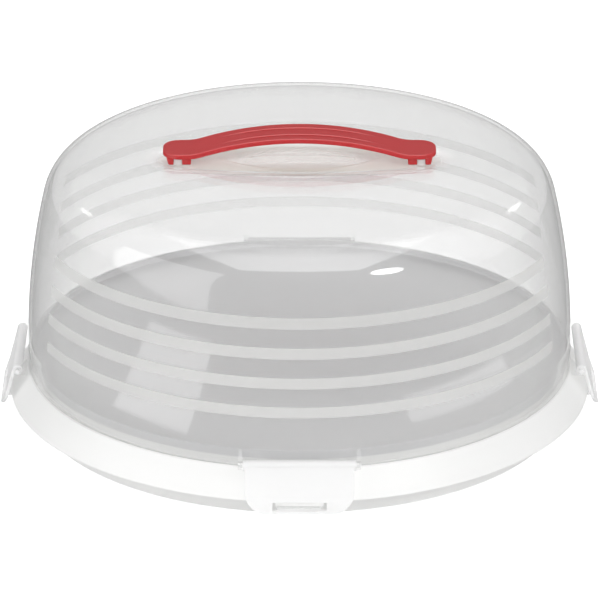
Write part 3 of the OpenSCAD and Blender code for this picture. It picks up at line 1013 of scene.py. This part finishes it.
def side_reflector(name, bearing, rise, level):
    """A reflector on a sphere, between two bearings in degrees, anticlockwise from the front, and
    two elevations."""
    profile = arc((0, 0), SIDE_REACH, *rise, 8)
    reflector(name, spun(profile, 16, -90 + bearing[0], bearing[1] - bearing[0]), level)


def round_reflector(name, place, radius, level):
    """A round reflector that faces the object."""
    bm = bmesh.new()
    bmesh.ops.create_circle(bm, cap_ends=True, segments=48, radius=radius)
    facing = (-Vector(place)).to_track_quat("Z", "Y").to_matrix().to_4x4()
    bmesh.ops.transform(bm, matrix=Matrix.Translation(place) @ facing, verts=bm.verts)
    reflector(name, bm, level)


def studio_world():
    """An even pale room, plain white to the camera. Reflections see it white too, but dimmer in
    front and near the floor."""
    world = bpy.data.worlds.new("studio")
    world.use_nodes = True
    tree = world.node_tree
    tree.nodes.clear()
    ray = add_node(tree, "ShaderNodeLightPath")
    place = add_node(tree, "ShaderNodeTexCoord")
    way = add_node(tree, "ShaderNodeSeparateXYZ", links={"Vector": place.outputs["Generated"]})
    behind = add_node(
        tree, "ShaderNodeMapRange",
        {"From Min": HORIZON_BAND[0], "From Max": HORIZON_BAND[1], "To Min": HORIZON_LEVEL,
         "To Max": 1.0},
        {"Value": way.outputs["Z"]}, interpolation_type="SMOOTHSTEP")
    backwards = add_node(
        tree, "ShaderNodeMapRange", {"From Min": FRONT_BAND[0], "From Max": FRONT_BAND[1]},
        {"Value": way.outputs["Y"]}, interpolation_type="SMOOTHSTEP")
    mirrored = add_node(
        tree, "ShaderNodeMix", {NUMBER_A: FRONT_LEVEL},
        {0: backwards.outputs["Result"], NUMBER_B: behind.outputs["Result"]}, data_type="FLOAT")
    seen = add_node(
        tree, "ShaderNodeMix", {NUMBER_A: ROOM_LIGHT},
        {0: ray.outputs["Is Glossy Ray"], NUMBER_B: mirrored.outputs[NUMBER_OUT]},
        data_type="FLOAT")
    level = add_node(
        tree, "ShaderNodeMix", {NUMBER_B: 1.0},
        {0: ray.outputs["Is Camera Ray"], NUMBER_A: seen.outputs[NUMBER_OUT]},
        data_type="FLOAT")
    sky = add_node(
        tree, "ShaderNodeBackground", {"Color": linear("#FFFFFF")},
        {"Strength": level.outputs[NUMBER_OUT]})
    out = add_node(tree, "ShaderNodeOutputWorld")
    tree.links.new(sky.outputs["Background"], out.inputs["Surface"])
    bpy.context.scene.world = world


def lamp(name, place, aim_z, size, watts, mirrored=False):
    """A softbox turned towards a point on the object's axis. Only a mirrored one shows in
    reflections."""
    light = bpy.data.lights.new(name, "AREA")
    light.shape = "RECTANGLE"
    light.size, light.size_y = size[0] * MM, size[1] * MM
    light.energy = watts
    obj = in_scene(name, light)
    obj.location = Vector(place) * MM
    obj.visible_glossy = mirrored
    aim = Vector((0, 0, aim_z)) - Vector(place)
    obj.rotation_euler = aim.to_track_quat("-Z", "Y").to_euler()


def camera():
    """The photograph's view: a long lens, 23 degrees above the horizontal."""
    lens = bpy.data.cameras.new("camera")
    lens.sensor_width = 36.0
    lens.lens = PHOTO_FOCAL_PX / PHOTO_SIZE_PX * lens.sensor_width
    lens.shift_x = (PHOTO_SIZE_PX / 2 - PHOTO_CENTRE_X_PX) / PHOTO_SIZE_PX
    obj = in_scene("camera", lens)
    rise = math.radians(CAMERA_RISE)
    aim = Vector((0, 0, CAMERA_AIM_Z)) * MM
    obj.location = aim + CAMERA_DISTANCE * MM * Vector((0, -math.cos(rise), math.sin(rise)))
    obj.rotation_euler = (aim - obj.location).to_track_quat("-Z", "Y").to_euler()
    bpy.context.scene.camera = obj


stage_floor()
studio_world()

lamp("overhead_softbox", (0, 100, 1600), 100, (1400, 1400), 5.5)
lamp("front_softbox", (200, -2600, 850), 80, (1600, 1000), 21.0)
lamp("back_softbox", (0, 2400, 650), 100, (2000, 800), 44.0)
lamp("right_softbox", (1400, -1580, 1500), 100, (700, 700), 14.0)
lamp("left_panel", (-1310, -730, 520), 80, (1400, 1000), 7.0, mirrored=True)
lamp("left_softbox", (-2200, -600, 400), 30, (800, 600), 5.0)
lamp("right_low_softbox", (2200, -900, 400), 30, (800, 600), 8.0)

# What the photograph's reflections show of its studio. On the dome: two light patches low on the
# wall, the boat-shaped sheet over the front, the bars on the shoulder and three ovals.
floor_card("left_floor_card", (250, 900), (33, 60), 2.4)
floor_card("right_floor_card", (270, 360), (-75, -34), 2.0)
overhead_panel("overhead_reflector", (0, -550), (1440, 1300), 3.0)
overhead_panel("overhead_middle_reflector", (0, 600), (340, 990), 2.6)
overhead_panel("overhead_left_reflector", (-400, 450), (450, 690), 2.2)
overhead_panel("overhead_right_reflector", (400, 450), (450, 690), 2.2)
side_reflector("left_side_reflector", (-104, -72), (20, 58), 0.8)
side_reflector("right_side_reflector", (72, 104), (20, 58), 0.8)
round_reflector("front_right_reflector", (1402, -1580, 1496), 300, 10.0)
round_reflector("back_left_reflector", (-1600, 1380, 1360), 140, 4.0)
round_reflector("back_right_reflector", (1453, 1529, 1351), 160, 4.0)

camera()
bpy.context.scene.view_settings.view_transform = "Standard"
# The view through stripes and both walls of the dome crosses more clear surfaces than the default
# allows.
bpy.context.scene.cycles.transparent_max_bounces = 24
